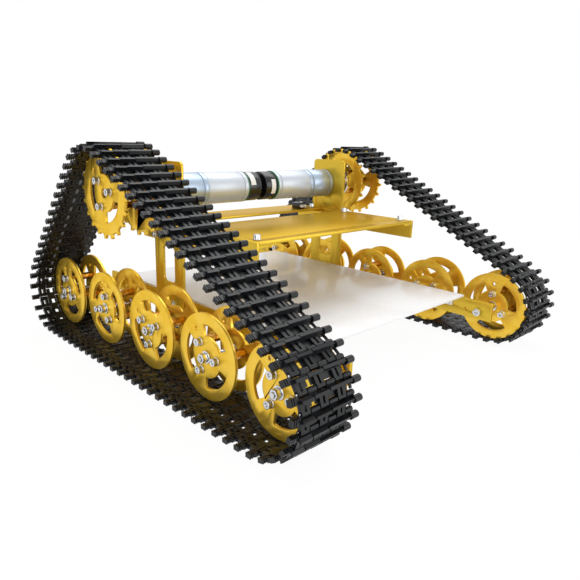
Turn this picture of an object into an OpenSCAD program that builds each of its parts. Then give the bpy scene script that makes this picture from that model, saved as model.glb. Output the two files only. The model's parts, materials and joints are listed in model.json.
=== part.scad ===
// Tracked tank chassis: two triangular tracks, five road wheels a side, a toothed drive wheel
// on each gear motor, and a bolted plate frame between them.
// +X points forward, +Y left, +Z up. The origin is on the ground under the middle of the wheelbase.

/* [Road wheels] */
// Distance between neighbouring axles
wheel_pitch = 90; // [82:1:110]
// Radius of a wheel disc
wheel_r = 39; // [34:0.5:42]
// Thickness of a wheel or drive disc
disc_t = 3; // [2:0.5:4]
// Middle plane to the inner face of the inner discs
disc_inner_y = 157; // [150:0.5:165]
// Overall width of a road wheel over both discs
wheel_w = 32.5; // [24:0.5:33]
// Windows in each disc
window_count = 3; // [3:1:4]
// Inner radius of a window
window_r_in = 18.8; // [18.5:0.1:20]
// Outer radius of a window
window_r_out = 29; // [26:0.5:31]
// Angle that a window spans
window_span = 73; // [50:1:90]
// Radius of the small index hole in each disc
index_hole_r = 1.8; // [1:0.1:2.5]
// Distance of the index hole from the wheel axis
index_hole_at = 26.5; // [24:0.5:30]

/* [Pillars and wheel screws] */
// Distance of the pillars from the wheel axis
pillar_at = 14.5; // [13:0.5:15]
// Width across flats of a hexagonal pillar
pillar_flats = 7; // [6:0.5:7.5]
// Radius of the wheel screws' shanks
screw_r = 2; // [1.5:0.1:2.2]
// Radius of a cap screw's head
cap_r = 3.5; // [3:0.1:3.8]
// Height of a cap screw's head
cap_h = 4; // [3:0.1:5]
// Width across flats of a cap screw's socket
socket_flats = 3.3; // [2.5:0.1:3.5]
// Depth of a cap screw's socket
socket_depth = 2.2; // [1.5:0.1:2.4]
// Radius of the washer under a cap screw
washer_r = 4; // [3.8:0.1:4.4]
// Thickness of a washer
washer_t = 1.2; // [0.8:0.1:1.6]
// Length of a wheel screw's shank below its washer
screw_len = 10; // [8:0.5:12]

/* [Axles] */
// Radius of an axle bolt
axle_r = 2.5; // [2:0.1:3]
// Outer radius of a wheel bearing
bearing_r = 5; // [4.5:0.1:6]
// Radius of a bearing's flange
bearing_flange_r = 5.8; // [5.6:0.1:7]
// Thickness of a bearing's flange
bearing_flange_t = 1; // [0.6:0.1:1.5]
// Outer radius of the tube between rail and wheel
spacer_r = 4; // [3.5:0.1:5]
// Radius of an axle bolt's head
axle_head_r = 4.25; // [4:0.05:5]
// Height of an axle bolt's head
axle_head_h = 5; // [4:0.5:6]
// Width across flats of an axle bolt's socket
axle_socket_flats = 4; // [3:0.5:4.5]
// Width across flats of an axle lock nut
axle_nut_flats = 8; // [7:0.5:10]
// Height of an axle lock nut
axle_nut_h = 5; // [4:0.5:6]
// Length of bolt that stands out of a lock nut
bolt_tail = 1.5; // [1:0.5:3]

/* [Drive wheels] */
// Teeth on a drive disc
teeth = 20; // [19:1:21]
// Rear axle to motor axis, forward
motor_x = 115; // [105:1:125]
// Axle height to motor axis, upward
motor_z = 125; // [115:1:135]
// Overall width over both drive discs
drive_w = 40; // [39:0.5:41]
// How far a tooth stands above the pin line
tooth_top = 1.8; // [1:0.1:2]
// Width of a tooth at its root
tooth_root_w = 4.6; // [4:0.1:5]
// Radius of a tooth's rounded tip
tooth_tip_r = 1.9; // [1.4:0.1:2]
// Radius of the hub's barrel
hub_r = 9; // [7:0.5:10]
// Radius of the hub's flange
hub_flange_r = 19; // [18.6:0.1:20]
// Thickness of the hub's flange
hub_flange_t = 4; // [3:0.5:5]

/* [Track] */
// Links in each track
link_count = 78; // [77:1:79]
// Middle plane to the inner edge of the right track's links
track_inner_y = 154.4; // [154:0.1:154.6]
// Width of a link
track_w = 56; // [53:0.5:58]
// Radius of a hinge pin
pin_r = 1; // [0.8:0.05:1.2]
// Radius of a hinge knuckle
knuckle_r = 2.4; // [2.2:0.05:2.6]
// Depth of a link's plate on the wheel side of the pin line
plate_in = 1.6; // [1.2:0.1:1.7]
// Pin line to the ground face of a grouser
grouser_out = 6.5; // [5:0.1:7.5]
// Width of a link's cross bar along the track
bar_w = 3.4; // [3:0.1:3.6]
// Width of a grouser's ground face along the track
grouser_tip_w = 2.2; // [1.5:0.1:3]
// Step between neighbouring grouser segments
grouser_step = 0.7; // [0.2:0.1:0.9]
// Share of a link's width that the inner grouser segment takes
inner_share = 0.5; // [0.46:0.01:0.52]
// Share of a link's width that the middle grouser segment takes
middle_share = 0.28; // [0.25:0.01:0.3]
// Distance of a pin's ends from the edges of its link
pin_inset = 0.5; // [0.2:0.1:1]
// Radius of the round tube at one end of each grouser
boss_r = 3.2; // [2.4:0.1:3.2]
// How far that tube stands out of the link
boss_out = 5.5; // [2:0.1:6]
// How far that tube reaches over the link
boss_over = 8.5; // [6:0.1:10]
// Pin line to the wheel side of the ribbed knob at the other end of each link
knob_in = 3; // [2:0.1:4]
// Length of a knob along the track
knob_l = 8; // [6:0.1:8.2]
// Depth of the groove around a knob
knob_groove = 1; // [0.6:0.1:1.5]
// Width of the groove around a knob
knob_groove_w = 1.6; // [1:0.1:2]
// Thickness of the web that closes the middle window of a link
web_t = 2.4; // [1.5:0.1:3]

/* [Frame] */
// Middle plane to the inner face of a rail
rail_inner_y = 122.5; // [118:0.5:124]
// Thickness of a rail
rail_t = 4; // [3:0.5:5]
// Rail height above the axles
rail_up = 12; // [10:0.5:14]
// Rail depth below the axles
rail_down = 9; // [8:0.5:12]
// Rail length past the end axles
rail_past = 15.5; // [12:0.5:20]
// End axle to the spare hole near a rail's end
spare_hole_at = 15; // [13:0.5:18]
// Radius of a spare hole
spare_hole_r = 2.1; // [1.6:0.1:2.4]
// Thickness of the base plate
base_t = 2.5; // [2:0.5:4]
// End axle to the base plate's end
base_inset = 21; // [20:0.5:30]
// Width of a tab that the base plate bends down
tab_w = 26; // [20:1:32]
// Drop of a tab below the base plate
tab_drop = 14; // [12:0.5:16]
// Rear axle to the middle of a side plate
side_x = 122; // [121:0.5:124]
// Thickness of a side plate
side_t = 3; // [2:0.5:4]
// Width of a side plate
side_w = 54; // [50:1:58]
// Top of a side plate above the axles
side_top = 156; // [150:1:160]
// Radius of a side plate's corners
side_corner_r = 5; // [3:0.5:6]
// Width of the window in a side plate
side_window_w = 22; // [18:1:24]
// Height of the window in a side plate
side_window_h = 40; // [30:1:42]
// Axle height to the bottom of that window
side_window_z = 26; // [24:1:27]
// Top face of the deck above the axles
deck_z = 90.7; // [88:0.1:93]
// Thickness of the deck plates
deck_t = 3; // [2:0.5:4]
// Rear axle to the front deck's rear edge
deck_rear = 150; // [146:1:152]
// Rear axle to the front deck's front edge
deck_front = 262; // [250:1:270]
// Rear axle to the tie plate's rear edge
tie_rear = 70; // [66:1:74]
// Rear axle to the tie plate's front edge
tie_front = 116; // [112:1:120]
// Thickness of a deck arm
arm_t = 3; // [2:0.5:4]
// Height of a deck arm's upright leg
arm_h = 21; // [19:0.5:22]
// Width of a deck arm's flat leg
arm_w = 18; // [16:0.5:20]
// Arm bolts' distance from the edges of a side plate
arm_bolt_in = 7; // [6:0.5:9]
// Width across flats of a frame lock nut
frame_nut_flats = 7; // [6:0.5:8]
// Height of a frame lock nut
frame_nut_h = 5; // [3:0.5:6]
// Deck bolts' distance from the ends of the plate that they hold
deck_bolt_in = 12; // [10:0.5:16]

/* [Motors] */
// Radius of a gearbox
gearbox_r = 18; // [16:0.5:18.5]
// Length of a gearbox
gearbox_l = 45; // [40:0.5:50]
// Length of a gearbox's end plate
gearbox_end_l = 6; // [4:0.5:8]
// Radius of a motor can
can_r = 17.7; // [16:0.1:18.5]
// Length of a motor can
can_l = 57; // [50:0.5:58]
// Length of a motor can's end cap
can_end_l = 5; // [4:0.5:8]
// Width of the seams around a motor
seam_w = 0.8; // [0.5:0.1:1.2]
// Depth of the seams around a motor
seam_d = 0.5; // [0.3:0.1:0.8]
// Thickness of an encoder's board
board_t = 1.6; // [1:0.1:2]
// Radius of an encoder's cover
cover_r = 17; // [15:0.5:17.5]
// Length of an encoder's cover
cover_l = 19; // [16:0.5:20]
// Wall of an encoder's cover
cover_wall = 1.5; // [1:0.1:2]
// Radius of the output shaft
shaft_r = 4; // [3:0.1:4.5]
// Length of shaft that stands out of the gearbox
shaft_out = 26; // [24:0.5:28]
// Length of shaft inside the gearbox
shaft_in = 16; // [12:0.5:20]
// Radius of the boss around the shaft
boss_out_r = 11; // [10:0.5:12]
// Radius of the ring of motor screws
motor_screw_at = 14; // [13.5:0.1:14.5]
// Radius of a motor screw's shank
motor_screw_r = 1.5; // [1.2:0.1:1.6]
// Depth of the motor screws in a gearbox
motor_screw_len = 7; // [5:0.5:9]
// Radius of a motor screw's head
motor_cap_r = 2.75; // [2.5:0.05:3]
// Height of a motor screw's head
motor_cap_h = 3; // [2:0.5:3]
// Length of a motor lead's plug
plug_l = 14; // [12:0.5:16]
// Width of a motor lead's plug
plug_w = 11; // [8:0.5:12]
// Height of a motor lead's plug
plug_h = 8; // [6:0.5:9]
// Radius of a socket in a motor lead's plug
plug_socket_r = 1.6; // [1:0.1:1.8]
// Depth of a socket in a motor lead's plug
plug_socket_depth = 5; // [3:0.5:8]
// Middle plane to a motor lead's plug
plug_y = 84; // [70:1:90]
// Tie plate's front edge to a motor lead's plug
plug_edge = 6; // [4:0.5:10]

/* [Fits] */
// Radial clearance of a part that turns on a shaft
run_fit = 0.05; // [0.02:0.01:0.09]
// Radial clearance of a bolt in its hole
bolt_fit = 0.15; // [0.1:0.05:0.25]
// Radial clearance of a piece that is pressed or screwed in
press_fit = 0.02; // [0.01:0.01:0.05]
// Gap between pieces that move past each other
move_gap = 0.3; // [0.2:0.05:0.35]
// Gap between the rims and the knuckles that run on them
rim_gap = 0.3; // [0.2:0.05:0.4]

/* [Hidden] */
$fn = 48;
small_fn = 24;
eps = 0.1;
root3 = sqrt(3);

// Wheelbase and heights; the nodes' names count the road wheels of a side
wheel_count = 5;
wheelbase = (wheel_count - 1) * wheel_pitch;
wheel_pin_r = wheel_r + rim_gap + knuckle_r;
axle_z = wheel_pin_r + grouser_out;
wheel_xs = [for (i = [0 : wheel_count - 1]) i * wheel_pitch];

// Rest angles of the wheels' first windows, rear to front, as the wheels happen to stand
right_turns = [40, 15, 88, 63, 55];
left_turns = [75, 10, 50, 95, 33];

// Across the width
rail_outer_y = rail_inner_y + rail_t;
side_outer_y = rail_outer_y + side_t;
wheel_outer_y = disc_inner_y + wheel_w;
drive_outer_y = disc_inner_y + drive_w;
arm_inner_y = rail_outer_y - arm_t;
deck_half = arm_inner_y - move_gap;
deck_under = deck_z - deck_t;
arm_foot = deck_z - arm_h;
arm_rear = tie_rear;
arm_front = deck_front;
deck_bolt_y = rail_outer_y - arm_w / 2 - arm_t / 2;

// The track's pin line: two wheel circles and the drive circle, joined by straight runs
front_gap = norm([motor_x - wheelbase, motor_z]);
rear_gap = norm([motor_x, motor_z]);
function front_normal(r) = atan2(motor_z, motor_x - wheelbase) - 90 + asin((wheel_pin_r - r) / front_gap);
function rear_normal(r) = atan2(-motor_z, -motor_x) + 270 + asin((r - wheel_pin_r) / rear_gap);
function arc(r, angle) = r * angle * PI / 180;
function run(gap, r) = sqrt(gap * gap - (wheel_pin_r - r) * (wheel_pin_r - r));
function loop_parts(r) = [
    wheelbase,
    arc(wheel_pin_r, front_normal(r) + 90),
    run(front_gap, r),
    arc(r, rear_normal(r) - front_normal(r)),
    run(rear_gap, r),
    arc(wheel_pin_r, 270 - rear_normal(r))
];
function total(v, n) = n == 0 ? 0 : v[n - 1] + total(v, n - 1);
function loop_length(r) = total(loop_parts(r), len(loop_parts(r)));
// The drive circle whose teeth take the links of a closed track with this many links
fit_tries = 24;
function fitted_r(r, tries) =
    tries == 0 ? r : fitted_r(teeth * loop_length(r) / (link_count * 2 * PI), tries - 1);
drive_pin_r = fitted_r(wheel_pin_r, fit_tries);
parts = loop_parts(drive_pin_r);
loop_len = loop_length(drive_pin_r);
link_pitch = loop_len / link_count;
n_front = front_normal(drive_pin_r);
n_rear = rear_normal(drive_pin_r);
function on_circle(c, r, a) = [c[0] + r * cos(a), c[1] + r * sin(a)];
rear_c = [0, 0];
front_c = [wheelbase, 0];
motor_c = [motor_x, motor_z];
function along(c, r, n, t) = on_circle(c, r, n) + t * [-sin(n), cos(n)];
function degrees_of(t, r) = t / r * 180 / PI;
// Point on the pin line at a distance t from the rear wheel's lowest point
function pin_at(t0) =
    let (t = t0 >= loop_len ? t0 - loop_len : t0)
    t < total(parts, 1) ? along(rear_c, wheel_pin_r, -90, t) :
    t < total(parts, 2) ? on_circle(front_c, wheel_pin_r, -90 + degrees_of(t - total(parts, 1), wheel_pin_r)) :
    t < total(parts, 3) ? along(front_c, wheel_pin_r, n_front, t - total(parts, 2)) :
    t < total(parts, 4) ?
        on_circle(motor_c, drive_pin_r, n_front + degrees_of(t - total(parts, 3), drive_pin_r)) :
    t < total(parts, 5) ? along(motor_c, drive_pin_r, n_rear, t - total(parts, 4)) :
    on_circle(rear_c, wheel_pin_r, n_rear + degrees_of(t - total(parts, 5), wheel_pin_r));
// One pin stands where the track reaches the drive circle
first_pin = total(parts, 3) - floor(total(parts, 3) / link_pitch) * link_pitch;
pins = [for (i = [0 : link_count - 1]) pin_at(first_pin + i * link_pitch)];

// Link proportions along the track, from the middle between its two pins
half_pitch = link_pitch / 2;
bar_front = half_pitch - knuckle_r - move_gap;
bar_rear = bar_front - bar_w;
bar_mid = (bar_front + bar_rear) / 2;
tooth_mid = (bar_rear - half_pitch + knuckle_r) / 2;
// Hinge eyes on each pin of a link; the drive discs run in the front eyes' lanes
eye_count = 3;
lane_w = track_w / (2 * eye_count);
// Both tracks have their tubes on the left, so the left track's knobs reach inwards over its inner discs;
// the knobs are as long as it takes for both tracks to reach equally far out
left_inner_y = disc_inner_y + disc_t + 2 * move_gap;
knob_out = left_inner_y - track_inner_y + boss_out;
knob_neck = left_inner_y - disc_inner_y + move_gap;
// Lanes whose windows are closed by a web, counted from the tubes: no drive disc runs there
right_web_lane = 2;
left_web_lane = 4;
// Radii of the drive discs
drive_root_r = drive_pin_r * cos(180 / teeth) - plate_in - move_gap;
drive_tip_r = drive_pin_r + tooth_top;
first_tooth = n_front + 180 / teeth + degrees_of(tooth_mid, drive_pin_r);

gold = [0.90, 0.68, 0.16];
brass = [0.78, 0.52, 0.20];
steel = [0.78, 0.79, 0.80];
black = [0.08, 0.08, 0.09];
cream = [0.94, 0.92, 0.87];

WHEELS = [for (i = [1 : wheel_count]) i];

// Moves a piece from the rear axle's frame to the ground under the middle of the wheelbase
module in_place() {
    translate([-wheelbase / 2, 0, axle_z]) children();
}

// A piece of the left side, or its mirror image on the right
module on_side(side) {
    mirror([0, side == "left" ? 0 : 1, 0]) children();
}

module on_both() {
    for (side = ["left", "right"]) on_side(side) children();
}

// A round bar along +Y from y0 to y1
module bar_y(r, y0, y1, sides = $fn) {
    translate([0, y1, 0]) rotate([90, 0, 0]) cylinder(r = r, h = y1 - y0, $fn = sides);
}

// A hexagonal bar along +Y
module hex_y(flats, y0, y1) {
    bar_y(flats / root3, y0, y1, 6);
}

// A flat outline in X and Z, thickened along +Y from y0 to y1
module slab_y(y0, y1) {
    translate([0, y1, 0]) rotate([90, 0, 0]) linear_extrude(y1 - y0) children();
}

module around(count, at, turn = 0) {
    for (i = [0 : count - 1]) rotate([0, -turn - i * 360 / count, 0]) translate([at, 0, 0]) children();
}

module ring_window() {
    intersection() {
        difference() {
            circle(r = window_r_out);
            circle(r = window_r_in);
        }
        polygon([[0, 0], 2 * window_r_out * [cos(window_span / 2), -sin(window_span / 2)],
                 2 * window_r_out * [cos(window_span / 2), sin(window_span / 2)]]);
    }
}

// Holes and windows that road wheels and drive wheels share
module disc_cuts(centre_r) {
    circle(r = centre_r);
    for (i = [0 : window_count - 1]) {
        rotate(i * 360 / window_count) ring_window();
        rotate((i + 0.5) * 360 / window_count) translate([pillar_at, 0])
            circle(r = screw_r + bolt_fit, $fn = small_fn);
    }
    rotate(180 / window_count) translate([index_hole_at, 0]) circle(r = index_hole_r, $fn = small_fn);
}

module wheel_disc(y0) {
    slab_y(y0, y0 + disc_t) difference() {
        circle(r = wheel_r, $fn = 96);
        disc_cuts(bearing_r + press_fit);
    }
}

// A tooth along X: flanks that close towards a round tip
module tooth() {
    tip_at = drive_tip_r - tooth_tip_r;
    polygon([[0, -tooth_root_w / 2], [drive_root_r, -tooth_root_w / 2], [tip_at, -tooth_tip_r],
             [tip_at, tooth_tip_r], [drive_root_r, tooth_root_w / 2], [0, tooth_root_w / 2]]);
    translate([tip_at, 0]) circle(r = tooth_tip_r, $fn = small_fn);
}

module drive_disc(y0, centre_r) {
    slab_y(y0, y0 + disc_t) difference() {
        union() {
            circle(r = drive_root_r, $fn = 96);
            for (i = [0 : teeth - 1]) rotate(i * 360 / teeth) tooth();
        }
        disc_cuts(centre_r);
    }
}

// Pillars between two discs, tapped right through
module pillars(y0, y1, turn) {
    around(window_count, pillar_at, turn + 180 / window_count) difference() {
        hex_y(pillar_flats, y0, y1);
        bar_y(screw_r + press_fit, y0 - eps, y1 + eps, small_fn);
    }
}

// A cap screw whose washer lies on a face at y and whose shank runs towards -Y
module cap_screw(y, shank_r, shank_len) {
    difference() {
        union() {
            bar_y(washer_r, y, y + washer_t, small_fn);
            bar_y(cap_r, y + washer_t, y + washer_t + cap_h, small_fn);
            bar_y(shank_r, y - shank_len, y, small_fn);
        }
        hex_y(socket_flats, y + washer_t + cap_h - socket_depth, y + washer_t + cap_h + eps);
    }
}

// Screws into both ends of the pillars, the inner ones also through a flange of thickness grip
module wheel_screws(y0, y1, turn, grip = 0) {
    around(window_count, pillar_at, turn + 180 / window_count) {
        cap_screw(y1, screw_r, screw_len);
        translate([0, y0 - grip, 0]) mirror([0, 1, 0]) cap_screw(0, screw_r, screw_len + grip);
    }
}

// Flanged bearing in the disc whose outside face is at y, with its flange outside
module bearing(y, out) {
    difference() {
        union() {
            bar_y(bearing_r, min(y, y - out * disc_t), max(y, y - out * disc_t));
            bar_y(bearing_flange_r, min(y, y + out * bearing_flange_t), max(y, y + out * bearing_flange_t));
        }
        bar_y(axle_r + run_fit, y - 2 * disc_t, y + 2 * disc_t);
    }
}

module wheel_place(side, i) {
    on_side(side) in_place() translate([wheel_xs[i - 1], 0, 0]) children();
}

function turn_of(side, i) = side == "left" ? left_turns[i - 1] : right_turns[i - 1];

module wheel_discs(side, i) {
    color(gold) wheel_place(side, i) rotate([0, -turn_of(side, i), 0]) {
        wheel_disc(disc_inner_y);
        wheel_disc(wheel_outer_y - disc_t);
    }
}

module wheel_pillars(side, i) {
    color(brass) wheel_place(side, i)
        pillars(disc_inner_y + disc_t, wheel_outer_y - disc_t, turn_of(side, i));
}

// Cap screws and bearings of one road wheel
module wheel_fittings(side, i) {
    color(steel) wheel_place(side, i) {
        wheel_screws(disc_inner_y, wheel_outer_y, turn_of(side, i));
        bearing(wheel_outer_y, 1);
        bearing(disc_inner_y, -1);
    }
}

module drive_place(side) {
    on_side(side) in_place() translate([motor_x, 0, motor_z]) children();
}

module drive_discs(side) {
    color(gold) drive_place(side) rotate([0, -first_tooth, 0]) {
        drive_disc(disc_inner_y, shaft_r + bolt_fit);
        drive_disc(drive_outer_y - disc_t, bearing_r);
    }
}

module drive_pillars(side) {
    color(brass) drive_place(side) pillars(disc_inner_y + disc_t, drive_outer_y - disc_t, first_tooth);
}

module drive_screws(side) {
    color(steel) drive_place(side) wheel_screws(disc_inner_y, drive_outer_y, first_tooth, hub_flange_t);
}

// Hub on the motor shaft; the inner screws clamp its flange to the inner disc
hub_y = side_outer_y + move_gap;
module drive_hub(side) {
    color(steel) drive_place(side) difference() {
        union() {
            bar_y(hub_r, hub_y, disc_inner_y - hub_flange_t);
            bar_y(hub_flange_r, disc_inner_y - hub_flange_t, disc_inner_y);
        }
        bar_y(shaft_r + press_fit, hub_y - eps, disc_inner_y + eps);
        around(window_count, pillar_at, first_tooth + 180 / window_count)
            bar_y(screw_r + bolt_fit, disc_inner_y - hub_flange_t - eps, disc_inner_y + eps, small_fn);
    }
}

module drive_shaft(side) {
    color(steel) drive_place(side) bar_y(shaft_r, rail_outer_y - shaft_in, rail_outer_y + shaft_out);
}

// Outline of a link across the track direction; X runs along the track, Y towards the wheels
module link_bar(shift) {
    tip = grouser_tip_w / 2;
    polygon([[bar_rear, plate_in], [bar_rear, -knuckle_r], [bar_mid + shift - tip, -grouser_out],
             [bar_mid + shift + tip, -grouser_out], [bar_front, -knuckle_r], [bar_front, plate_in]]);
}

// The cross bar under the round tube, where the grouser is left out
module link_foot() {
    polygon([[bar_rear, plate_in], [bar_rear, -knuckle_r], [bar_front, -knuckle_r], [bar_front, plate_in]]);
}

// A hinge eye on the front or the rear pin, with its arm to the cross bar
module link_eye(end) {
    arm = end > 0 ? half_pitch - bar_mid : half_pitch + bar_mid;
    difference() {
        union() {
            translate([end * half_pitch, 0]) circle(r = knuckle_r, $fn = small_fn);
            translate([end > 0 ? bar_mid : -half_pitch, -knuckle_r]) square([arm, plate_in + knuckle_r]);
        }
        translate([end * half_pitch, 0]) circle(r = pin_r + run_fit, $fn = small_fn);
    }
}

// Web between the cross bar and the eye of the link behind, with that eye's running gap
module link_web() {
    web_rear = knuckle_r + move_gap - half_pitch;
    translate([web_rear, -web_t / 2]) square([bar_mid - web_rear, web_t]);
}

// A slice of a knob from y0 to y1, set back all round or not
module knob_slice(y0, y1, back = 0) {
    translate([bar_mid + back - knob_l / 2, y0, back - knuckle_r])
        cube([knob_l - 2 * back, y1 - y0, knob_in + knuckle_r - 2 * back]);
}

// A narrow neck and a knob with a groove around it, at the plain end of a link
module link_knob() {
    head_y = track_w + knob_neck;
    end_y = track_w + knob_out;
    groove_y = (head_y + end_y - knob_groove_w) / 2;
    slab_y(track_w, head_y) link_foot();
    knob_slice(head_y, groove_y);
    knob_slice(groove_y, groove_y + knob_groove_w, knob_groove);
    knob_slice(groove_y + knob_groove_w, end_y);
}

// One link, its tube end at Y = 0; the front eyes and the rear eyes take turns across its width
module track_link(web_lane) {
    inner_seg = track_w * inner_share;
    middle_seg = track_w * middle_share;
    gap = move_gap / 2;
    slab_y(0, boss_over) link_foot();
    slab_y(boss_over, inner_seg) link_bar(grouser_step);
    slab_y(inner_seg, inner_seg + middle_seg) link_bar(0);
    slab_y(inner_seg + middle_seg, track_w) link_bar(-grouser_step);
    for (k = [0 : eye_count - 1]) {
        slab_y(2 * k * lane_w + (k == 0 ? 0 : gap), (2 * k + 1) * lane_w - gap) link_eye(1);
        slab_y((2 * k + 1) * lane_w + gap, (2 * k + 2) * lane_w - (k == eye_count - 1 ? 0 : gap)) link_eye(-1);
    }
    slab_y(web_lane * lane_w, (web_lane + 1) * lane_w) link_web();
    translate([bar_mid, 0, boss_r - grouser_out]) bar_y(boss_r, -boss_out, boss_over + eps, small_fn);
    link_knob();
}

// A link at its place across the width, in the frame that the right side mirrors
module link_on(side) {
    if (side == "left") translate([0, left_inner_y + track_w, 0]) mirror([0, 1, 0]) track_link(left_web_lane);
    else translate([0, track_inner_y, 0]) track_link(right_web_lane);
}

module track_links(side) {
    color(black) on_side(side) in_place() for (i = [0 : link_count - 1]) {
        a = pins[i];
        b = pins[(i + 1) % link_count];
        translate([(a[0] + b[0]) / 2, 0, (a[1] + b[1]) / 2])
            rotate([0, -atan2(b[1] - a[1], b[0] - a[0]), 0]) link_on(side);
    }
}

module track_pins() {
    color(steel) for (side = ["left", "right"]) on_side(side) in_place() for (p = pins)
        translate([p[0], side == "left" ? left_inner_y : track_inner_y, p[1]])
            bar_y(pin_r, pin_inset, track_w - pin_inset, small_fn);
}

// Frame
tab_xs = [for (i = [0 : wheel_count - 2]) (i + 0.5) * wheel_pitch];
tab_bolt_z = rail_up - tab_drop / 2;
module base_plate() {
    color(cream) in_place() {
        translate([base_inset, -rail_outer_y, rail_up])
            cube([wheelbase - 2 * base_inset, 2 * rail_outer_y, base_t]);
        on_both() for (x = tab_xs) difference() {
            translate([x - tab_w / 2, rail_inner_y - base_t, rail_up - tab_drop + base_t])
                cube([tab_w, base_t, tab_drop]);
            translate([x, 0, tab_bolt_z]) bar_y(screw_r + bolt_fit, rail_inner_y - base_t - eps,
                rail_inner_y + eps, small_fn);
        }
    }
}

side_bolt_xs = [2 * side_x - tab_xs[1], tab_xs[1]];
module side_rails() {
    color(gold) on_both() in_place() difference() {
        translate([-rail_past, rail_inner_y, -rail_down])
            cube([wheelbase + 2 * rail_past, rail_t, rail_up + rail_down]);
        for (x = wheel_xs) translate([x, 0, 0])
            bar_y(axle_r + bolt_fit, rail_inner_y - eps, rail_outer_y + eps, small_fn);
        for (x = [spare_hole_at, wheelbase - spare_hole_at]) translate([x, 0, 0])
            bar_y(spare_hole_r, rail_inner_y - eps, rail_outer_y + eps, small_fn);
        for (x = concat(tab_xs, [side_bolt_xs[0]])) translate([x, 0, tab_bolt_z])
            bar_y(screw_r + bolt_fit, rail_inner_y - eps, rail_outer_y + eps, small_fn);
    }
}

arm_bolt_xs = [side_x - side_w / 2 + arm_bolt_in, side_x + side_w / 2 - arm_bolt_in];
arm_bolt_z = arm_foot + (arm_h - deck_t - arm_t) / 2;
// A rectangle with round corners, its lower edge's middle at the origin
module round_rect(w, h, r) {
    translate([r - w / 2, 0]) square([w - 2 * r, h]);
    translate([-w / 2, r]) square([w, h - 2 * r]);
    for (x = [r - w / 2, w / 2 - r]) for (y = [r, h - r]) translate([x, y]) circle(r = r, $fn = small_fn);
}

// Motor plate: a window below, the gearbox's boss and four screws above
module side_plate(side) {
    color(gold) on_side(side) in_place() slab_y(rail_outer_y, side_outer_y) difference() {
        translate([side_x, -rail_down]) round_rect(side_w, side_top + rail_down, side_corner_r);
        translate([side_x, side_window_z]) round_rect(side_window_w, side_window_h, side_corner_r);
        translate(motor_c) {
            circle(r = boss_out_r + bolt_fit);
            for (a = [45 : 90 : 315]) rotate(a) translate([motor_screw_at, 0])
                circle(r = motor_screw_r + bolt_fit, $fn = small_fn);
        }
        for (x = side_bolt_xs) translate([x, tab_bolt_z]) circle(r = screw_r + bolt_fit, $fn = small_fn);
        for (x = arm_bolt_xs) translate([x, arm_bolt_z]) circle(r = screw_r + bolt_fit, $fn = small_fn);
    }
}

deck_bolt_xs = [deck_rear + deck_bolt_in, deck_front - deck_bolt_in];
tie_bolt_xs = [tie_rear + deck_bolt_in, tie_front - deck_bolt_in];
// Angle bars along the side plates, with the deck plates lying between their upright legs
module deck_arms() {
    color(gold) on_both() in_place() difference() {
        union() {
            translate([arm_rear, arm_inner_y, arm_foot]) cube([arm_front - arm_rear, arm_t, arm_h]);
            translate([arm_rear, rail_outer_y - arm_w, deck_under - arm_t])
                cube([arm_front - arm_rear, arm_w, arm_t]);
        }
        for (x = arm_bolt_xs) translate([x, 0, arm_bolt_z])
            bar_y(screw_r + bolt_fit, arm_inner_y - eps, rail_outer_y + eps, small_fn);
        for (x = concat(deck_bolt_xs, tie_bolt_xs)) translate([x, deck_bolt_y, deck_under - arm_t - eps])
            cylinder(r = screw_r + press_fit, h = arm_t + 2 * eps, $fn = small_fn);
    }
}

module deck_plate(x0, x1, bolt_xs) {
    difference() {
        translate([x0, -deck_half, deck_under]) cube([x1 - x0, 2 * deck_half, deck_t]);
        for (x = bolt_xs) for (y = [-deck_bolt_y, deck_bolt_y]) translate([x, y, deck_under - eps])
            cylinder(r = screw_r + bolt_fit, h = deck_t + 2 * eps, $fn = small_fn);
    }
}

module front_deck() {
    color(gold) in_place() deck_plate(deck_rear, deck_front, deck_bolt_xs);
}

module rear_tie_plate() {
    color(gold) in_place() deck_plate(tie_rear, tie_front, tie_bolt_xs);
}

// Motors, lying across the chassis with their shafts pointing outwards
gearbox_y = rail_outer_y - gearbox_l;
can_y = gearbox_y - can_l;
board_y = can_y - board_t;
cover_y = board_y - cover_l;
boss_y = side_outer_y - move_gap;
// Groove around a round housing at y
module seam(r, y) {
    difference() {
        bar_y(r + eps, y, y + seam_w);
        bar_y(r - seam_d, y - eps, y + seam_w + eps);
    }
}

module gearbox(side) {
    color([0.72, 0.75, 0.79]) drive_place(side) difference() {
        union() {
            bar_y(gearbox_r, gearbox_y, rail_outer_y);
            bar_y(boss_out_r, rail_outer_y - eps, boss_y);
        }
        seam(gearbox_r, gearbox_y + gearbox_end_l);
        seam(gearbox_r, rail_outer_y - gearbox_end_l - seam_w);
        bar_y(shaft_r + run_fit, rail_outer_y - shaft_in - move_gap, side_outer_y);
        around(4, motor_screw_at, 45)
            bar_y(motor_screw_r + press_fit, rail_outer_y - motor_screw_len, rail_outer_y + eps, small_fn);
    }
}

module motor_can(side) {
    color([0.80, 0.81, 0.82]) drive_place(side) difference() {
        bar_y(can_r, can_y, gearbox_y);
        seam(can_r, can_y + can_end_l);
    }
}

module encoder_boards() {
    color([0.05, 0.38, 0.24]) on_both() in_place() translate([motor_x, 0, motor_z])
        bar_y(can_r, board_y, can_y);
}

module encoder_covers() {
    color(black) on_both() in_place() translate([motor_x, 0, motor_z]) difference() {
        bar_y(cover_r, cover_y, board_y);
        bar_y(cover_r - cover_wall, cover_y + cover_wall, board_y + eps);
    }
}

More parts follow.
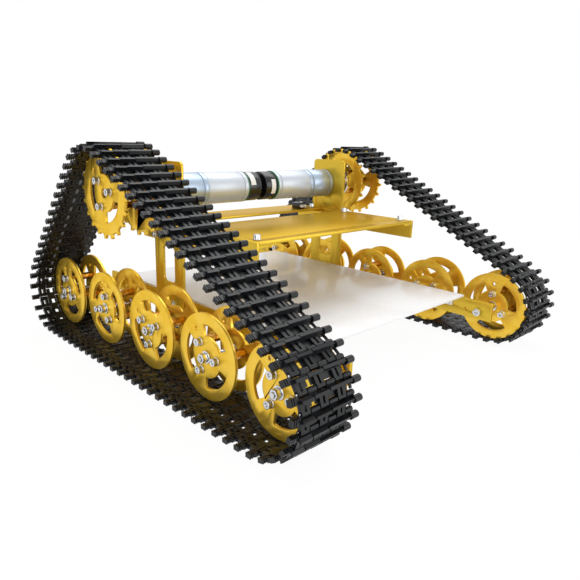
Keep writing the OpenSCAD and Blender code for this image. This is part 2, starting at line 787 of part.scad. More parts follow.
// Two-way plug on each motor's leads, lying on the tie plate
module lead_plugs() {
    color(black) on_both() in_place() difference() {
        translate([tie_front - plug_l - plug_edge, plug_y, deck_z]) cube([plug_l, plug_w, plug_h]);
        for (k = [1, 3]) translate([tie_front - plug_edge + eps, plug_y + k * plug_w / 4, deck_z + plug_h / 2])
            rotate([0, -90, 0]) cylinder(r = plug_socket_r, h = plug_socket_depth, $fn = small_fn);
    }
}

// Fasteners
module lock_nut(flats, hole_r, y, h) {
    difference() {
        hex_y(flats, y, y + h);
        bar_y(hole_r + press_fit, y - eps, y + h + eps, small_fn);
    }
}

// Axle bolts with their heads inside the rails, and their lock nuts outside the wheels
axle_nut_y = wheel_outer_y + bearing_flange_t + move_gap;
module axle_bolts() {
    color(steel) on_both() in_place() for (x = wheel_xs) translate([x, 0, 0]) {
        difference() {
            union() {
                bar_y(axle_head_r, rail_inner_y - axle_head_h, rail_inner_y, small_fn);
                bar_y(axle_r, rail_inner_y, axle_nut_y + axle_nut_h + bolt_tail);
            }
            hex_y(axle_socket_flats, rail_inner_y - axle_head_h - eps, rail_inner_y - axle_head_h / 2);
        }
        lock_nut(axle_nut_flats, axle_r, axle_nut_y, axle_nut_h);
    }
}

module axle_spacers() {
    color(gold) on_both() in_place() for (x = wheel_xs) translate([x, 0, 0]) difference() {
        bar_y(spacer_r, rail_outer_y, disc_inner_y - bearing_flange_t - move_gap);
        bar_y(axle_r + bolt_fit, rail_outer_y - eps, disc_inner_y, small_fn);
    }
}

// A frame bolt along +Y: head against y0, nut against y1
module frame_bolt(y0, y1) {
    translate([0, 2 * y0, 0]) mirror([0, 1, 0]) cap_screw(y0, screw_r, y1 - y0 + frame_nut_h + bolt_tail);
    lock_nut(frame_nut_flats, screw_r, y1, frame_nut_h);
}

module frame_fasteners() {
    color(steel) on_both() in_place() {
        for (x = tab_xs) translate([x, 0, tab_bolt_z])
            frame_bolt(rail_inner_y - base_t, x == side_bolt_xs[1] ? side_outer_y : rail_outer_y);
        translate([side_bolt_xs[0], 0, tab_bolt_z]) frame_bolt(rail_inner_y, side_outer_y);
        for (x = arm_bolt_xs) translate([x, 0, arm_bolt_z]) frame_bolt(arm_inner_y, side_outer_y);
        for (x = concat(deck_bolt_xs, tie_bolt_xs)) translate([x, deck_bolt_y, 0]) rotate([90, 0, 0])
            cap_screw(deck_z, screw_r, deck_t + arm_t);
        translate([motor_x, 0, motor_z]) around(4, motor_screw_at, 45) difference() {
            union() {
                bar_y(motor_cap_r, side_outer_y, side_outer_y + motor_cap_h, small_fn);
                bar_y(motor_screw_r, rail_outer_y - motor_screw_len + move_gap, side_outer_y, small_fn);
            }
            hex_y(motor_cap_r, side_outer_y + motor_cap_h / 2, side_outer_y + motor_cap_h + eps);
        }
    }
}

base_plate();
side_rails();
side_plate("left");  // left_side_plate
side_plate("right");  // right_side_plate
deck_arms();
front_deck();
rear_tie_plate();
gearbox("left");  // left_gearbox
gearbox("right");  // right_gearbox
motor_can("left");  // left_motor_can
motor_can("right");  // right_motor_can
encoder_boards();
encoder_covers();
lead_plugs();
axle_bolts();
axle_spacers();
frame_fasteners();
track_links("left");  // left_track_links
track_links("right");  // right_track_links
track_pins();
for (side = ["left", "right"]) {
    drive_discs(side);
    drive_pillars(side);
    drive_screws(side);
    drive_hub(side);
    drive_shaft(side);
    for (i = WHEELS) {
        wheel_discs(side, i);
        wheel_pillars(side, i);
        wheel_fittings(side, i);
    }
}
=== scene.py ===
# %% [markdown]
# # A tracked tank chassis, dressed on its CAD frame
# Two loops of hinged plastic links run round five gold double-disc wheels a side and a toothed
# drive wheel, and a bolted plate frame with two gear motors joins the sides. The CAD model gives
# every size and place. It could be shown as it is, but its edges are perfectly sharp and its links
# are plain, so this lesson eases the edges, models the links and the small trim by hand, and gives
# each metal and plastic its own finish.

# %% Load the frame
import json
import math
import bpy
from mathutils import Matrix, Vector


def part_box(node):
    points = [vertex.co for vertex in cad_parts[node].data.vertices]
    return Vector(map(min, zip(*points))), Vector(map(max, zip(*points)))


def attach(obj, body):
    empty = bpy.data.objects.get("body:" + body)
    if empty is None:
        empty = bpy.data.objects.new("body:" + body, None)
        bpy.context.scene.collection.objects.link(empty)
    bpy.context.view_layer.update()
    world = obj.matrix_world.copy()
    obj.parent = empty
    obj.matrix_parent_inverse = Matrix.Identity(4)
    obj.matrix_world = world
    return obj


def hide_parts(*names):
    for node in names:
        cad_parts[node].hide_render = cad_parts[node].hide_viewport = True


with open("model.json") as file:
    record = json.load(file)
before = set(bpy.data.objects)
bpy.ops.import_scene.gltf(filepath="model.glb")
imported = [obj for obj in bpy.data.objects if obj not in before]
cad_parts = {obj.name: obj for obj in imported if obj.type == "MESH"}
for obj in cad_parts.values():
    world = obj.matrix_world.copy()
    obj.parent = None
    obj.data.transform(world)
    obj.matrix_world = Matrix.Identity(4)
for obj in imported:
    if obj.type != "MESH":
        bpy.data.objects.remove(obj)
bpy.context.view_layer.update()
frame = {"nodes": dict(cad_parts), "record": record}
MM = 0.001

# %% [markdown]
# ## Ways of working
# An operator acts on everything that is selected, so each step first clears the selection and then
# picks what it needs. Faces are picked by a test on their middle and normal, the way a modeller
# would click them. All the helpers below take millimetres.

# %% Selecting
def clear_selection():
    if bpy.context.object and bpy.context.object.mode != "OBJECT":
        bpy.ops.object.mode_set(mode="OBJECT")
    bpy.ops.object.select_all(action="DESELECT")


def pick(*objects):
    clear_selection()
    for obj in objects:
        obj.select_set(True)
    bpy.context.view_layer.objects.active = objects[0]


def edit_faces(obj, test):
    pick(obj)
    bpy.ops.object.mode_set(mode="EDIT")
    bpy.ops.mesh.select_mode(type="FACE")
    bpy.ops.mesh.select_all(action="DESELECT")
    bpy.ops.object.mode_set(mode="OBJECT")
    for face in obj.data.polygons:
        face.select = test(face.center / MM, face.normal)
    bpy.ops.object.mode_set(mode="EDIT")


# %% Starting shapes
ALONG_X, ALONG_Y = (0, math.pi / 2, 0), (math.pi / 2, 0, 0)


def at_origin(name):
    bpy.ops.object.transform_apply(location=True, rotation=True, scale=True)
    bpy.context.object.name = name
    return bpy.context.object


def block(name, low, high):
    clear_selection()
    low, high = Vector(low) * MM, Vector(high) * MM
    bpy.ops.mesh.primitive_cube_add(size=1, location=(low + high) / 2, scale=high - low)
    return at_origin(name)


def rod(name, radius, length, sides, middle, turn):
    clear_selection()
    bpy.ops.mesh.primitive_cylinder_add(vertices=sides, radius=radius * MM, depth=length * MM,
                                        location=Vector(middle) * MM, rotation=turn)
    return at_origin(name)


def cross_rod(name, radius, y0, y1, sides, x=0, z=0):
    return rod(name, radius, y1 - y0, sides, (x, (y0 + y1) / 2, z), ALONG_Y)


# %% Shaping, joining and copying
def extrude(x=0, z=0):
    bpy.ops.mesh.extrude_region_move(TRANSFORM_OT_translate={"value": (x * MM, 0, z * MM)})


def cut_across(obj, places):
    for y in places:
        edit_faces(obj, lambda c, n: True)
        bpy.ops.mesh.bisect(plane_co=(0, y * MM, 0), plane_no=(0, 1, 0))


def joined(name, pieces):
    pick(*pieces)
    bpy.ops.object.join()
    bpy.context.object.name = name
    return bpy.context.object


def copy_at(obj, matrix):
    twin = bpy.data.objects.new(obj.name, obj.data.copy())
    twin.data.transform(matrix)
    if matrix.determinant() < 0:    # a mirrored copy is inside out until its faces are turned back
        twin.data.flip_normals()
    bpy.context.scene.collection.objects.link(twin)
    return twin


# %% [markdown]
# ## Camera
# The camera could be set by eye, but then every later comparison would be off. It was solved from
# the photograph's wheel circles and track edges: it stands in front of the right-hand track, a
# little above it, and leans about two degrees to one side.

# %% Camera
view_from = Vector((0.4468, -0.4516, 0.2311))
ahead = Vector((-0.67735, 0.68568, -0.26652)).normalized()
lean = math.radians(1.91)
level = ahead.cross(Vector((0, 0, 1))).normalized()
over = level.cross(ahead)
right = level * math.cos(lean) + over * math.sin(lean)
upward = right.cross(ahead)
bpy.ops.object.camera_add()
camera = bpy.context.object
camera.matrix_world = Matrix((right, upward, -ahead)).transposed().to_4x4()
camera.matrix_world.translation = view_from
camera.data.lens = 34.15
camera.data.sensor_width = 36
bpy.context.scene.camera = camera
bpy.context.scene.view_settings.view_transform = "Standard"
chassis_middle = Vector((0, 0, 0.1))
print("Camera stands", round((view_from - chassis_middle).length, 3), "m from the chassis")

# %% [markdown]
# ## Colours and nodes
# Colours are written as sRGB hex, as a paint program shows them, and turned to linear light once.
# One small function adds a node with its settings and links, so each finish below reads as a list.
# All the finishes end alike: one pattern tints the surface, and the same or another one varies its
# roughness and its relief.

# %% Colour and node helpers
def colour(code):
    parts = [int(code[i:i + 2], 16) / 255 for i in (1, 3, 5)]
    return [p / 12.92 if p <= 0.04045 else ((p + 0.055) / 1.055) ** 2.4 for p in parts] + [1]


def add_node(tree, kind, settings=None, **links):
    made = tree.nodes.new(kind)
    for key, value in (settings or {}).items():
        if key in made.inputs:
            made.inputs[key].default_value = value
        else:
            setattr(made, key, value)
    for socket, source in links.items():
        tree.links.new(source, made.inputs[socket.replace("_", " ")])
    return made


def new_finish(name, **shader):
    made = bpy.data.materials.new(name)
    made.use_nodes = True
    tree = made.node_tree
    surface = tree.nodes["Principled BSDF"]
    for key, value in shader.items():
        surface.inputs[key.replace("_", " ")].default_value = value
    place = add_node(tree, "ShaderNodeTexCoord").outputs["Object"]
    return made, tree, surface, place


# %% Tint, roughness and relief
def tint_surface(tree, surface, pattern, dark, light, edges=(0.3, 0.7)):
    tint = add_node(tree, "ShaderNodeValToRGB", Fac=pattern.outputs["Fac"])
    for stop, place, code in zip(tint.color_ramp.elements, edges, (dark, light)):
        stop.position = place
        stop.color = colour(code)
    tree.links.new(tint.outputs["Color"], surface.inputs["Base Color"])


def roughen_surface(tree, surface, pattern, smooth, rough, strength, relief):
    spread = add_node(tree, "ShaderNodeMapRange", {"To Min": smooth, "To Max": rough},
                      Value=pattern.outputs["Fac"])
    tree.links.new(spread.outputs["Result"], surface.inputs["Roughness"])
    bump = add_node(tree, "ShaderNodeBump", {"Strength": strength, "Distance": relief * MM},
                    Height=pattern.outputs["Fac"])
    tree.links.new(bump.outputs["Normal"], surface.inputs["Normal"])


# %% [markdown]
# ## Gold anodised aluminium
# The wheel discs are cut from aluminium sheet, blasted and dyed gold. The blast leaves a fine grit
# that spreads highlights, and the dye is a little deeper in some places. A single flat yellow
# would look like paint, so the tint and the grit come from two noises. The grit is drawn at 0.5
# mm, coarser than the real 0.1 mm, so that it shows. The clear dyed skin lies over the metal, so
# the shader is a little less than fully metallic, and its glancing shine keeps a gold tint.

# %% Gold anodised aluminium
anodised, tree, surface, place = new_finish("gold_anodised_aluminium", Metallic=0.75,
                                            Specular_Tint=colour("#EBD080"))
cloud_mm, grit_mm = 14, 0.5
cloud = add_node(tree, "ShaderNodeTexNoise", {"Scale": 1 / (cloud_mm * MM), "Detail": 3},
                 Vector=place)
tint_surface(tree, surface, cloud, "#EFC23E", "#F6CE54", edges=(0.35, 0.65))
grit = add_node(tree, "ShaderNodeTexNoise", {"Scale": 1 / (grit_mm * MM), "Detail": 2},
                Vector=place)
roughen_surface(tree, surface, grit, smooth=0.26, rough=0.38, strength=0.12, relief=0.05)
print("Made", anodised.name)

# %% [markdown]
# ## Brushed gold plate
# The frame's plates and rails are the same dyed aluminium, brushed along their length before the
# dye, which draws a highlight out into faint lines. Drawn scratches would be far too fine to see,
# so long thin streaks come from a noise that is stretched forty times along the chassis.

# %% Brushed gold plate
brushed, tree, surface, place = new_finish("brushed_gold_plate", Metallic=0.7,
                                           Specular_Tint=colour("#E6C468"))
streak_mm, streak_stretch = 0.8, 40
stretch = add_node(tree, "ShaderNodeMapping", {"Scale": (1 / streak_stretch, 1, 1)}, Vector=place)
streaks = add_node(tree, "ShaderNodeTexNoise", {"Scale": 1 / (streak_mm * MM), "Detail": 4},
                   Vector=stretch.outputs["Vector"])
tint_surface(tree, surface, streaks, "#D5B238", "#DBB944")
roughen_surface(tree, surface, streaks, smooth=0.28, rough=0.32, strength=0.03, relief=0.01)
print("Made", brushed.name)

# %% [markdown]
# ## Brass and steels
# The pillars are drawn hexagonal brass bar, the screws are bright plated steel, the motor cans are
# duller zinc plate, and the gearboxes are satin steel with a blue cast. All were turned or drawn
# along the wheel axis, so a faint banding runs across that axis. One function makes all four,
# because only the colours, the gloss and the width of the bands differ.

# %% Turned metals
def turned_metal(name, dark, light, smooth, rough, band_mm, metallic=1.0):
    made, tree, surface, place = new_finish(name, Metallic=metallic)
    across = 0.08    # the bands are about 12 times longer across the axis than along it
    squeeze = add_node(tree, "ShaderNodeMapping", {"Scale": (across, 1, across)}, Vector=place)
    bands = add_node(tree, "ShaderNodeTexNoise", {"Scale": 1 / (band_mm * MM), "Detail": 3},
                     Vector=squeeze.outputs["Vector"])
    tint_surface(tree, surface, bands, dark, light)
    roughen_surface(tree, surface, bands, smooth, rough, strength=0.1, relief=0.03)
    print("Made", made.name)
    return made


brass = turned_metal("drawn_brass", "#B9822F", "#D6A24A", smooth=0.2, rough=0.34, band_mm=0.6)
steel = turned_metal("bright_plated_steel", "#C4C6C9", "#E2E3E4", smooth=0.12, rough=0.26,
                     band_mm=0.5)
can_steel = turned_metal("zinc_plated_can", "#C0C7CF", "#CCD2DA", smooth=0.4, rough=0.48,
                         band_mm=0.5, metallic=0.6)
gearbox_steel = turned_metal("satin_gearbox_steel", "#A2B2C5", "#B3C2D3", smooth=0.32, rough=0.4,
                             band_mm=0.5, metallic=0.75)

# %% [markdown]
# ## Moulded plastics and coated plate
# The links are black glass-filled nylon: a slightly grey, grainy skin with a soft sheen. The
# encoder covers and plugs are smoother, and their sleeves are undyed nylon. The base plate has a
# pale coat under a glossy skin that pools a little, like the skin of an orange. The labels are
# white vinyl, and the encoder boards have a green solder coat. Each is one noise at its own grain,
# so one function makes them all.

# %% Plastics and coatings
def grained(name, dark, light, grain_mm, smooth, rough, relief, **shader):
    made, tree, surface, place = new_finish(name, **shader)
    skin = add_node(tree, "ShaderNodeTexNoise", {"Scale": 1 / (grain_mm * MM), "Detail": 3},
                    Vector=place)
    tint_surface(tree, surface, skin, dark, light)
    roughen_surface(tree, surface, skin, smooth, rough, strength=0.15, relief=relief)
    print("Made", made.name)
    return made


nylon = grained("black_moulded_nylon", "#07080B", "#0F1216", grain_mm=1.0, smooth=0.34, rough=0.46,
                relief=0.1, Specular_IOR_Level=0.35)
cover_plastic = grained("black_cover_plastic", "#0B0C0F", "#14161A", grain_mm=1.5, smooth=0.16,
                        rough=0.26, relief=0.05, Specular_IOR_Level=0.5)
cream = grained("cream_coated_plate", "#F0F0F1", "#F5F5F6", grain_mm=6.0, smooth=0.42, rough=0.52,
                relief=0.02, Coat_Weight=0.4, Coat_Roughness=0.12)
sleeve_white = grained("natural_nylon_sleeve", "#E9E4DA", "#F2EEE6", grain_mm=1.5, smooth=0.35,
                       rough=0.45, relief=0.03)
label_white = grained("white_vinyl_label", "#E6E6E3", "#F0F0EE", grain_mm=2.0, smooth=0.4,
                      rough=0.5, relief=0.02)
board = grained("green_circuit_board", "#1B5C3C", "#2A7A50", grain_mm=1.2, smooth=0.3, rough=0.42,
                relief=0.05)

# %% [markdown]
# ## Eased edges
# Real sheet and bar have a small round on every edge, which catches a bright line of light. A CAD
# node's mesh is loose triangles, so a copy is merged, its flat faces are joined up, and a Bevel
# modifier rounds what is still sharp. The copy then stands for its node and rides on the same
# body.

# %% Easing a CAD node
body_of = {n: body for body, names in frame["record"]["behaviour"]["bodies"].items() for n in names}
CREASE = math.radians(35)    # edges that bend more than this are real edges


def merged_copy(node):
    same_point, flat = 0.002 * MM, math.radians(0.5)
    twin = copy_at(frame["nodes"][node], Matrix())
    pick(twin)
    bpy.ops.object.mode_set(mode="EDIT")
    bpy.ops.mesh.select_all(action="SELECT")
    bpy.ops.mesh.remove_doubles(threshold=same_point)
    bpy.ops.mesh.dissolve_limited(angle_limit=flat)
    bpy.ops.object.mode_set(mode="OBJECT")
    return twin


def dress(piece, finish, slot, *nodes):
    piece.data.materials.clear()
    piece.data.materials.append(finish)
    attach(piece, body_of[nodes[0]])
    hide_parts(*nodes)


def eased(node, width, finish, slot, name):
    piece = merged_copy(node)
    piece.name = name
    pick(piece)
    soften = piece.modifiers.new("edges", "BEVEL")
    soften.width = width * MM
    soften.segments = 2
    soften.angle_limit = CREASE
    soften.use_clamp_overlap = False
    bpy.ops.object.modifier_apply(modifier=soften.name)
    bpy.ops.object.shade_smooth_by_angle(angle=CREASE)
    dress(piece, finish, slot, node)


# %% Frame plates
sheet_edge, coated_edge, small_edge = 0.35, 0.4, 0.3
for node in ("side_rails", "left_side_plate", "right_side_plate", "deck_arms", "front_deck",
             "rear_tie_plate"):
    eased(node, sheet_edge, brushed, "gold_aluminium", node + "_brushed")
eased("base_plate", coated_edge, cream, "cream_plate", "base_plate_coated")
eased("axle_spacers", small_edge, anodised, "gold_aluminium", "axle_spacer_tubes")
print("Eased the frame plates")

# %% Wheels and drive wheels
SIDES = ("left", "right")
wheels = [f"{side}_wheel_{i}" for side in SIDES for i in range(1, 6)]
for wheel in wheels:
    eased(wheel + "_discs", sheet_edge, anodised, "gold_aluminium", wheel + "_eased_discs")
    eased(wheel + "_pillars", small_edge, brass, "brass", wheel + "_drawn_pillars")
    eased(wheel + "_fittings", small_edge, steel, "bright_steel", wheel + "_screws_and_bearings")
for side in SIDES:
    drive = side + "_drive_"
    eased(drive + "discs", sheet_edge, anodised, "gold_aluminium", drive + "toothed_discs")
    eased(drive + "pillars", small_edge, brass, "brass", drive + "drawn_pillars")
    for part in ("screws", "hub", "shaft"):
        eased(drive + part, small_edge, steel, "bright_steel", drive + "bright_" + part)
print("Eased", len(wheels), "wheels and 2 drive wheels")

# %% Motors and fasteners
housing_edge, board_edge, cover_edge = 0.5, 0.2, 0.6
for side in SIDES:
    eased(side + "_gearbox", housing_edge, gearbox_steel, "gearbox_steel",
          side + "_gearbox_housing")
    eased(side + "_motor_can", housing_edge, can_steel, "motor_steel", side + "_motor_drawn_can")
eased("encoder_boards", board_edge, board, "green_board", "encoder_circuit_boards")
eased("encoder_covers", cover_edge, cover_plastic, "black_plastic", "encoder_moulded_covers")
eased("lead_plugs", housing_edge, cover_plastic, "black_plastic", "lead_moulded_plugs")
for node in ("axle_bolts", "frame_fasteners"):
    eased(node, small_edge, steel, "bright_steel", node + "_bright")
print("Eased the motors and fasteners")

# %% [markdown]
# ## Hinge pins
# The pins are plain steel rods inside the links. Their CAD shape is right as it is, so they stay
# and only take the bright steel.

# %% Hinge pins
pin_finish = frame["nodes"]["track_pins"].data.materials
pin_finish.clear()
pin_finish.append(steel)
print("The hinge pins take", steel.name)

# %% [markdown]
# ## Labels
# Each encoder cover carries a white vinyl label. It could be a painted area in the cover's finish,
# but a thin curved sheet shows its edge. A ring just outside the cover is cut down to the faces
# between two angles, seen along the motor's axis, and given the thickness of vinyl.

# %% Labels on the encoder covers
cover_low, cover_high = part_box("encoder_covers")
axis_x, axis_z = (cover_low.x + cover_high.x) / 2 / MM, (cover_low.z + cover_high.z) / 2 / MM
cover_r = (cover_high.z - cover_low.z) / 2 / MM
label_clearance, vinyl_t, ring_sides = 0.15, 0.15, 72


def add_trim(piece, finish):
    piece.data.materials.append(finish)
    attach(piece, "chassis")


def angle_round_motor(point):
    return math.degrees(math.atan2(point.z - axis_z, point.x - axis_x))


def label(name, y0, y1, first, last):
    sheet = cross_rod(name, cover_r + label_clearance, y0, y1, ring_sides, axis_x, axis_z)
    edit_faces(sheet, lambda c, n: abs(n.y) > 0.5 or not first < angle_round_motor(c) < last)
    bpy.ops.mesh.delete(type="FACE")
    bpy.ops.object.mode_set(mode="OBJECT")
    vinyl = sheet.modifiers.new("vinyl", "SOLIDIFY")
    vinyl.thickness = vinyl_t * MM
    vinyl.offset = 1
    bpy.ops.object.modifier_apply(modifier=vinyl.name)
    bpy.ops.object.shade_smooth_by_angle(angle=CREASE)
    add_trim(sheet, label_white)


label("right_encoder_label", y0=-20.5, y1=-13, first=12, last=75)
label("left_encoder_label", y0=12.5, y1=19, first=-28, last=32)
print("Two labels on covers of radius", round(cover_r, 2), "mm")

# %% [markdown]
# ## Sleeves in the plugs
# Each two-way plug shows two pale sleeves at its front. Plain discs would look printed on, so a
# sleeve is a short rod whose front face is inset and pushed back, which leaves a tube with a blind
# bore.

# %% Plug sleeves
plug_low, plug_high = (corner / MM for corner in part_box("lead_plugs"))
plug_mid = (plug_low.z + plug_high.z) / 2
sleeve_r, sleeve_length, sleeve_wall, bore_depth, sleeve_sides = 1.9, 4, 0.5, 2, 20
sleeve_x = plug_high.x + 1.5
from_plug_end = (2.75, 8.25)
for side, plug_end in (("left", plug_high.y), ("right", -plug_high.y)):
    sleeves = []
    for inwards in from_plug_end:
        middle = (sleeve_x, plug_end - math.copysign(inwards, plug_end), plug_mid)
        sleeve = rod("sleeve", sleeve_r, sleeve_length, sleeve_sides, middle, ALONG_X)
        edit_faces(sleeve, lambda c, n: n.x > 0.9)
        bpy.ops.mesh.inset(thickness=sleeve_wall * MM)
        extrude(x=-bore_depth)
        sleeves.append(sleeve)
    pair = joined(side + "_plug_sleeves", sleeves)
    bpy.ops.object.shade_smooth_by_angle(angle=CREASE)
    add_trim(pair, sleeve_white)
print("Two sleeves in each plug")

# %% [markdown]
# ## Where the links go
# Each link hangs between two neighbouring hinge pins. Their places could be worked out again from
# the wheels, but the CAD pins already have them. The pins are taken apart into loose pieces, and
# the middles of the left side's pins, sorted by angle about the loop's middle, give the loop.

# %% Pin line
pins = merged_copy("track_pins")
pick(pins)
bpy.ops.object.mode_set(mode="EDIT")
bpy.ops.mesh.separate(type="LOOSE")
bpy.ops.object.mode_set(mode="OBJECT")
loose = list(bpy.context.selected_objects)
middles = [sum((Vector(c) for c in o.bound_box), Vector()) / len(o.bound_box) for o in loose]
loop = [m for m in middles if m.y > 0]
hub = sum(loop, Vector()) / len(loop)
loop.sort(key=lambda m: math.atan2(m.z - hub.z, m.x - hub.x))
pick(*loose)
bpy.ops.object.delete()
pitch = sum((loop[i] - loop[i - 1]).length for i in range(len(loop))) / len(loop) / MM
print(len(loop), "pins a side,", round(pitch, 2), "mm apart")

# %% [markdown]
# ## One track link
# A link is one moulding: a cross bar with three staggered grouser segments on its ground side,
# hinge eyes that take turns with its neighbours' eyes, a round tube at one end, and a ribbed knob
# at the other. It could be carved from one block with booleans, but extruding picked faces keeps
# it to a few clean faces, which matters for a shape that repeats 156 times. X runs along the
# track, Y across it from the tube end, and Z towards the wheels, with the pin line at zero.

# %% Cross bar and grousers
half, knuckle, width, plate_top = pitch / 2, 2.4, 56, 1.6
play, bar_t, knob_overlap = 0.3, 3.4, 1
bar_front = half - knuckle - play
bar_rear = bar_front - bar_t
bar_mid = (bar_front + bar_rear) / 2
stagger, grouser_rim, grouser_depth, grouser_taper = 0.9, 0.25, 2.9, (0.86, 0.98, 1)
segments = ((2, 28, stagger), (28, 44, 0), (44, width, -stagger))
below_bar = -knuckle - play    # lower faces belong to grousers that are made already
bar = block("track_link", (bar_rear, 0, -knuckle), (bar_front, width + knob_overlap, plate_top))
cut_across(bar, [start for start, end, shift in segments] + [width])
for start, end, shift in segments:
    edit_faces(bar, lambda c, n: n.z < -0.9 and start < c.y < end and c.z > below_bar)
    bpy.ops.mesh.inset(thickness=grouser_rim * MM)
    extrude(x=shift, z=-grouser_depth)
    bpy.ops.transform.resize(value=grouser_taper)
print("Cross bar with", len(bar.data.polygons), "faces")

# %% Hinge eyes
lane = width / 6
eye_gap, eye_sides, eye_reach, finger_w, finger_low = 0.6, 8, 3.5, 3, -2.1
pieces = [bar]
for k in range(3):
    front, rear = 2 * k * lane, (2 * k + 1) * lane
    front_eye = cross_rod("front_eye", knuckle, front + eye_gap, front + lane - eye_gap, eye_sides,
                          half)
    edit_faces(front_eye, lambda c, n: n.x < -0.5)
    extrude(x=-eye_reach)
    rear_eye = cross_rod("rear_eye", knuckle, rear + eye_gap, rear + lane - eye_gap, eye_sides,
                         -half)
    pieces += [front_eye, rear_eye]
    for edge in (rear + eye_gap, rear + lane - (eye_gap + finger_w)):
        pieces.append(block("finger", (-half, edge, finger_low),
                            (bar_mid, edge + finger_w, plate_top)))
print(len(pieces) - 1, "eyes and fingers")

# %% Tube with a blunt nose
tube_r, tube_z, tube_sides, tube_in = 2.9, -3.4, 12, 3
tube_out, nose, nose_rim = 4.7, 0.8, 1.1
tube = cross_rod("tube", tube_r, -tube_out, tube_in, tube_sides, bar_mid, tube_z)
edit_faces(tube, lambda c, n: n.y < -0.9)
bpy.ops.mesh.inset(thickness=nose_rim * MM)
bpy.ops.transform.translate(value=(0, -nose * MM, 0))
pieces.append(tube)
print("The tube stands out", tube_out + nose, "mm")

# %% Ribbed knob
neck_start, neck_end, knob_end = width + 0.3, 59, 64
knob_length, knob_low, neck_top, knob_rise = 5.4, -2, 1.2, 0.8
grooves, groove_waist = ((60.1, 60.9), (62.0, 62.8)), (0.76, 1, 0.7)
knob = block("knob", (bar_rear, neck_start, knob_low), (bar_rear + knob_length, knob_end, neck_top))
cut_across(knob, (neck_end, *grooves[0], *grooves[1]))
edit_faces(knob, lambda c, n: n.z > 0.9 and c.y > neck_end)
extrude(z=knob_rise)
for start, end in grooves:
    edit_faces(knob, lambda c, n: abs(n.y) < 0.5 and start < c.y < end)
    extrude()
    bpy.ops.transform.resize(value=groove_waist)
link = joined("track_link", pieces + [knob])
print("One link has", len(link.data.polygons), "faces")

# %% [markdown]
# ## Two tracks
# An array along a curve would stretch the links, so the link is copied to each gap between two
# pins, turned along the loop, and the copies of a side are joined. Both tracks have their tubes on
# the left, so neither is a mirror image of the other. They differ in the thin webs that close the
# links' windows, because a slot stays open for each drive disc, with 0.3 mm of play on both sides.
# On the left, the inner disc needs none: it runs past the webs, at the necks of the knobs. The
# webs are partly the links' own and partly painted shade: black sheets that close windows which
# look dark because the inside of the wheel behind them lies in shade.

# %% Track loops
web_rear, web_low, web_top = knuckle + play - half, 0.2, 1.4
left_outer, right_inner, right_outer = (19.3, 22.9), (2.3, 5.9), (39.3, 42.9)
# black webs close some windows: partly the links' own, partly painted shade where the windows look
# dark
shade_webs = {"left": ((0, lane), (left_outer[1], 3 * lane), (4 * lane, 5 * lane)),
        "right": ((0, right_inner[0]), (right_inner[1], lane), (2 * lane, 3 * lane),
                  (4 * lane, right_outer[0]), (right_outer[1], 5 * lane))}
eye_crease = math.radians(50)    # the sides of an eye bend by 45, and are shaded round
for side in SIDES:
    tube_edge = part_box(side + "_track_links")[1].y - (tube_out + nose) * MM
    fills = [block("web", (web_rear, start, web_low), (bar_mid, end, web_top))
             for start, end in shade_webs[side]]
    webbed = joined("track_link", [copy_at(link, Matrix())] + fills)
    copies = []
    for here, after in zip(loop, loop[1:] + loop[:1]):
        run = (after - here).normalized()
        middle = (here + after) / 2
        copies.append(copy_at(webbed, Matrix(((run.x, 0, -run.z, middle.x), (0, -1, 0, tube_edge),
                                              (run.z, 0, run.x, middle.z), (0, 0, 0, 1)))))
    track = joined(side + "_track_loop", copies)
    bpy.ops.object.shade_smooth_by_angle(angle=eye_crease)
    dress(track, nylon, "black_plastic", side + "_track_links")
    bpy.data.objects.remove(webbed)
    print(track.name, "has", len(track.data.polygons), "faces")
bpy.data.objects.remove(link)

# %% [markdown]
# ## Floor, lamps and world
# The photograph shows the chassis on plain white. More light on a white floor would also bleach
# the chassis, so the floor and the world show a plain white to the camera and in reflections, with
# enough of the floor's lit surface left to keep the shadow under the tracks. Three large soft
# lamps and a grey world light the object at a plain level.

# %% Floor
def seen_directly(tree):
    rays = add_node(tree, "ShaderNodeLightPath")
    either = add_node(tree, "ShaderNodeMath", {"operation": "MAXIMUM"})
    tree.links.new(rays.outputs["Is Camera Ray"], either.inputs[0])
    tree.links.new(rays.outputs["Is Glossy Ray"], either.inputs[1])
    return either.outputs[0]


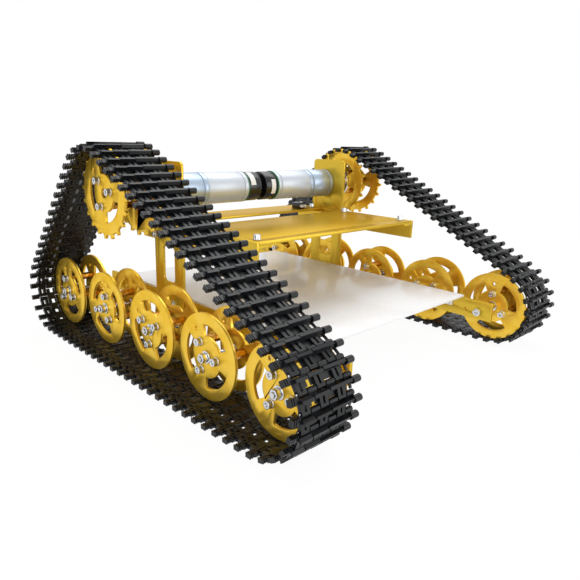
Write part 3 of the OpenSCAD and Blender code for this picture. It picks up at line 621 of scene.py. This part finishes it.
floor_size, fibre_mm, floor_glow, glow_share = 12, 3, 1.03, 0.92
clear_selection()
bpy.ops.mesh.primitive_plane_add(size=floor_size)
floor = bpy.context.object
floor.name = "studio_floor"
paper, tree, surface, place = new_finish("white_paper_floor", Roughness=0.9)
fibre = add_node(tree, "ShaderNodeTexNoise", {"Scale": 1 / (fibre_mm * MM)}, Vector=place)
tint_surface(tree, surface, fibre, "#F4F4F4", "#FAFAFA")
glow = add_node(tree, "ShaderNodeEmission", {"Color": colour("#FFFFFF"), "Strength": floor_glow})
share = add_node(tree, "ShaderNodeMath", {"operation": "MULTIPLY"})
tree.links.new(seen_directly(tree), share.inputs[0])
share.inputs[1].default_value = glow_share
blend = add_node(tree, "ShaderNodeMixShader", Fac=share.outputs[0])
tree.links.new(surface.outputs[0], blend.inputs[1])
tree.links.new(glow.outputs[0], blend.inputs[2])
tree.links.new(blend.outputs[0], tree.nodes["Material Output"].inputs["Surface"])
floor.data.materials.append(paper)
print("Floor", floor_size, "m wide")

# %% World
sky_light, sky_seen = 0.72, 1.0
world = bpy.data.worlds.new("studio")
bpy.context.scene.world = world
world.use_nodes = True
tree = world.node_tree
sky = tree.nodes["Background"]
sky.inputs["Color"].default_value = colour("#FFFFFF")
sky_level = add_node(tree, "ShaderNodeMapRange", {"To Min": sky_light, "To Max": sky_seen},
                     Value=seen_directly(tree))
tree.links.new(sky_level.outputs["Result"], sky.inputs["Strength"])
print("World lights at", sky_light, "and shows at", sky_seen)

# %% Lamps
def softbox(name, place, aim, size, power):
    clear_selection()
    bpy.ops.object.light_add(type="AREA", location=place)
    lamp = bpy.context.object
    lamp.name = name
    lamp.data.size = size
    lamp.data.energy = power
    lamp.rotation_euler = (Vector(aim) - Vector(place)).to_track_quat("-Z", "Y").to_euler()
    print(name, "gives", power, "W")


softbox("overhead_softbox", (-0.25, 0.5, 1.25), aim=(0.05, -0.1, 0.1), size=1.0, power=7)
softbox("front_softbox", (0.9, -1.1, 0.7), aim=(0, 0, 0.1), size=0.8, power=4)
softbox("low_softbox", (1.15, 0.65, 0.4), aim=(0.2, -0.15, 0.1), size=0.7, power=3)
